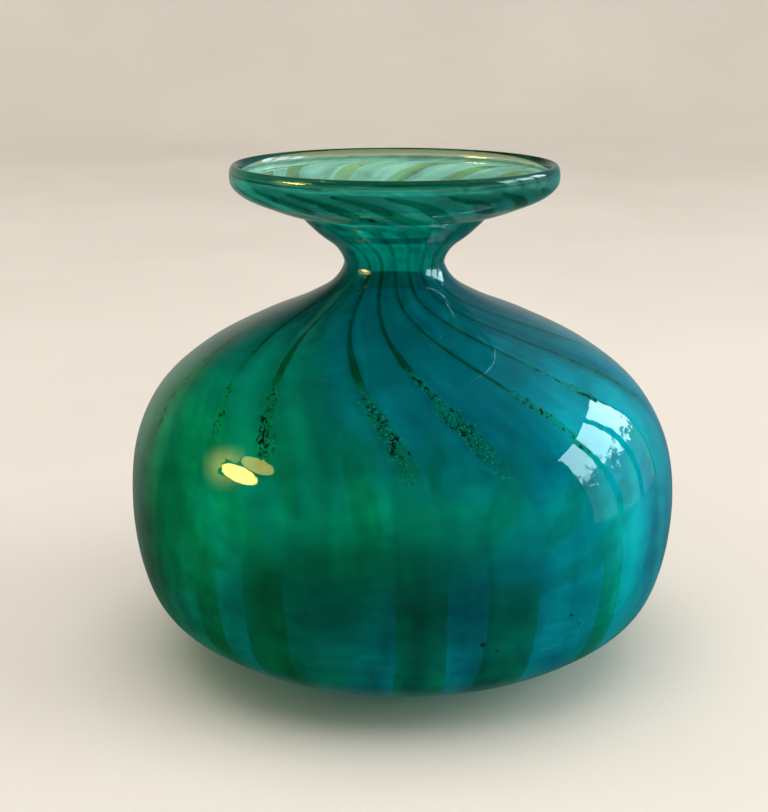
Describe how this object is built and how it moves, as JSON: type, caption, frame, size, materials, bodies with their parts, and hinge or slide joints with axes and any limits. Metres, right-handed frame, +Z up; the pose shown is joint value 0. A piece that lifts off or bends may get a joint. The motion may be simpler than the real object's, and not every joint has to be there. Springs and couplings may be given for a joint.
{
  "type": "art glass vase",
  "caption": "Squat hand-blown glass vase: flattened round body, narrow neck, wide shallow rim, turquoise colour layer with dark trails cased in clear glass.",
  "frame": {"origin": "under the centre of the foot, on the surface that the vase stands on", "axes": "+Z up through the neck, -Y towards the viewer, +X to the viewer's right"},
  "size_m": [0.1548, 0.1548, 0.141],
  "materials": {
    "clear_glass": "polished clear glass, fire-polished lip",
    "turquoise_glass": "deep transparent teal to blue, mottled",
    "trail_glass": "dark olive green silver glass, speckled",
    "punty_glass": "rough snapped glass"
  },
  "bodies": {
    "root": {"clear_casing": "clear_glass", "colour_gather": "turquoise_glass", "pontil_mark": "punty_glass", "silver_trail_01": "trail_glass", "silver_trail_02": "trail_glass", "silver_trail_03": "trail_glass", "silver_trail_04": "trail_glass", "silver_trail_05": "trail_glass", "silver_trail_06": "trail_glass", "silver_trail_07": "trail_glass", "silver_trail_08": "trail_glass", "silver_trail_09": "trail_glass", "silver_trail_10": "trail_glass", "silver_trail_11": "trail_glass", "silver_trail_12": "trail_glass", "silver_trail_13": "trail_glass", "silver_trail_14": "trail_glass", "silver_trail_15": "trail_glass", "silver_trail_16": "trail_glass", "silver_trail_17": "trail_glass"}
  },
  "joints": []
}
